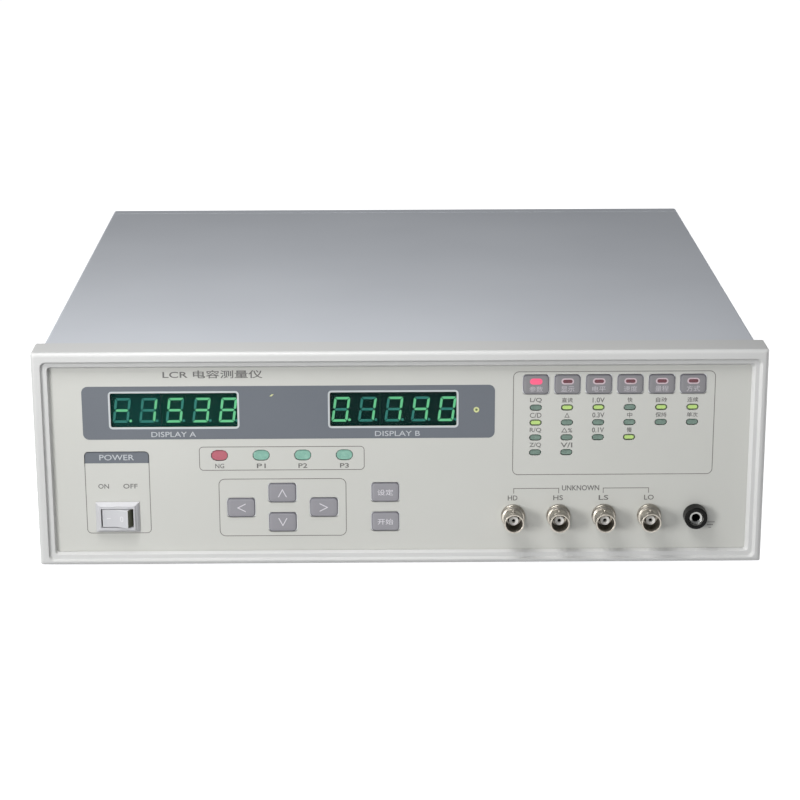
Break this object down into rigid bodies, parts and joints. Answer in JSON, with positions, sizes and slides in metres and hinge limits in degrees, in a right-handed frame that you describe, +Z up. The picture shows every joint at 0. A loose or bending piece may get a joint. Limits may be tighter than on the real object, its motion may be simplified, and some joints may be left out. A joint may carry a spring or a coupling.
{
  "type": "bench lcr meter",
  "caption": "Bench LCR meter: wide steel case, moulded front bezel, film keypad, twin LED displays, BNC terminals, earth socket, rocker switch, fold-out tilt legs.",
  "frame": {"origin": "under the middle of the meter, level with the soles of its feet", "axes": "+X to the viewer's right along the front panel, +Y from the front panel to the back, +Z up"},
  "size_m": [0.35, 0.3314, 0.116],
  "materials": {
    "bezel_plastic": "fine matt moulding, warm light grey",
    "case_paint": "satin bluish-grey powder coat",
    "panel_film": "printed polyester film, light grey",
    "panel_metal": "plain sheet",
    "key_film": "embossed film, mid grey",
    "switch_plastic": "light grey moulding",
    "connector_metal": "nickel plate",
    "insulator": "white insulator",
    "black_plastic": "black moulding",
    "window_tint": "clear green tint",
    "digit_face": "dark module face",
    "led_lens": "diffused lens",
    "circuit_board": "green solder mask",
    "core_steel": "varnished laminations",
    "winding_tape": "yellow tape over copper",
    "foot_plastic": "dark matt moulding"
  },
  "bodies": {
    "case": {"bin_led_strip": "led_lens", "bnc_insulator_high_drive": "insulator", "bnc_insulator_high_sense": "insulator", "bnc_insulator_low_drive": "insulator", "bnc_insulator_low_sense": "insulator", "bnc_nut_high_drive": "connector_metal", "bnc_nut_high_sense": "connector_metal", "bnc_nut_low_drive": "connector_metal", "bnc_nut_low_sense": "connector_metal", "bnc_shell_high_drive": "connector_metal", "bnc_shell_high_sense": "connector_metal", "bnc_shell_low_drive": "connector_metal", "bnc_shell_low_sense": "connector_metal", "bottom_tray": "case_paint", "digit_pair_a": "digit_face", "digit_pair_b": "digit_face", "digit_triple_a": "digit_face", "digit_triple_b": "digit_face", "display_board": "circuit_board", "display_window_a": "window_tint", "display_window_b": "window_tint", "front_bezel": "bezel_plastic", "front_foot_left": "foot_plastic", "front_foot_right": "foot_plastic", "front_panel": "panel_metal", "ground_jack_body": "black_plastic", "ground_jack_nut": "connector_metal", "ground_jack_socket": "connector_metal", "interface_port": "connector_metal", "key_led_strip": "led_lens", "main_board": "circuit_board", "panel_overlay": "panel_film", "power_inlet": "black_plastic", "rear_foot_left": "foot_plastic", "rear_foot_right": "foot_plastic", "rear_frame": "bezel_plastic", "rear_panel": "case_paint", "shield_can": "panel_metal", "status_led_block": "led_lens", "switch_housing": "switch_plastic", "top_cover": "case_paint", "transformer_coil": "winding_tape", "transformer_core": "core_steel"},
    "key_left": {"key_left": "key_film"},
    "key_right": {"key_right": "key_film"},
    "key_up": {"key_up": "key_film"},
    "key_down": {"key_down": "key_film"},
    "key_set": {"key_set": "key_film"},
    "key_start": {"key_start": "key_film"},
    "key_parameter": {"key_parameter": "key_film"},
    "key_display": {"key_display": "key_film"},
    "key_level": {"key_level": "key_film"},
    "key_speed": {"key_speed": "key_film"},
    "key_range": {"key_range": "key_film"},
    "key_mode": {"key_mode": "key_film"},
    "power_rocker": {"switch_rocker": "switch_plastic"},
    "left_tilt_leg": {"tilt_leg_left": "foot_plastic"},
    "right_tilt_leg": {"tilt_leg_right": "foot_plastic"},
    "fuse_drawer": {"fuse_drawer": "black_plastic"}
  },
  "joints": [
    {"name": "power_rocker_tip", "type": "hinge", "parent": "case", "child": "power_rocker", "pos_m": [-0.1369, -0.15215, 0.0326], "axis": [0, 0, 1], "range_deg": [0, 20]},
    {"name": "left_leg_fold", "type": "hinge", "parent": "case", "child": "left_tilt_leg", "pos_m": [-0.125, -0.11855, 0.0038], "axis": [-1, 0, 0], "range_deg": [0, 98]},
    {"name": "right_leg_fold", "type": "hinge", "parent": "case", "child": "right_tilt_leg", "pos_m": [0.125, -0.11855, 0.0038], "axis": [-1, 0, 0], "range_deg": [0, 98]},
    {"name": "fuse_drawer_slide", "type": "slide", "parent": "case", "child": "fuse_drawer", "axis": [0, 1, 0], "range_m": [0, 0.012]},
    {"name": "key_left_press", "type": "slide", "parent": "case", "child": "key_left", "axis": [0, 1, 0], "range_m": [0, 0.0005], "stiffness_N_per_m": 400},
    {"name": "key_right_press", "type": "slide", "parent": "case", "child": "key_right", "axis": [0, 1, 0], "range_m": [0, 0.0005], "stiffness_N_per_m": 400},
    {"name": "key_up_press", "type": "slide", "parent": "case", "child": "key_up", "axis": [0, 1, 0], "range_m": [0, 0.0005], "stiffness_N_per_m": 400},
    {"name": "key_down_press", "type": "slide", "parent": "case", "child": "key_down", "axis": [0, 1, 0], "range_m": [0, 0.0005], "stiffness_N_per_m": 400},
    {"name": "key_set_press", "type": "slide", "parent": "case", "child": "key_set", "axis": [0, 1, 0], "range_m": [0, 0.0005], "stiffness_N_per_m": 400},
    {"name": "key_start_press", "type": "slide", "parent": "case", "child": "key_start", "axis": [0, 1, 0], "range_m": [0, 0.0005], "stiffness_N_per_m": 400},
    {"name": "key_parameter_press", "type": "slide", "parent": "case", "child": "key_parameter", "axis": [0, 1, 0], "range_m": [0, 0.0005], "stiffness_N_per_m": 400},
    {"name": "key_display_press", "type": "slide", "parent": "case", "child": "key_display", "axis": [0, 1, 0], "range_m": [0, 0.0005], "stiffness_N_per_m": 400},
    {"name": "key_level_press", "type": "slide", "parent": "case", "child": "key_level", "axis": [0, 1, 0], "range_m": [0, 0.0005], "stiffness_N_per_m": 400},
    {"name": "key_speed_press", "type": "slide", "parent": "case", "child": "key_speed", "axis": [0, 1, 0], "range_m": [0, 0.0005], "stiffness_N_per_m": 400},
    {"name": "key_range_press", "type": "slide", "parent": "case", "child": "key_range", "axis": [0, 1, 0], "range_m": [0, 0.0005], "stiffness_N_per_m": 400},
    {"name": "key_mode_press", "type": "slide", "parent": "case", "child": "key_mode", "axis": [0, 1, 0], "range_m": [0, 0.0005], "stiffness_N_per_m": 400}
  ]
}
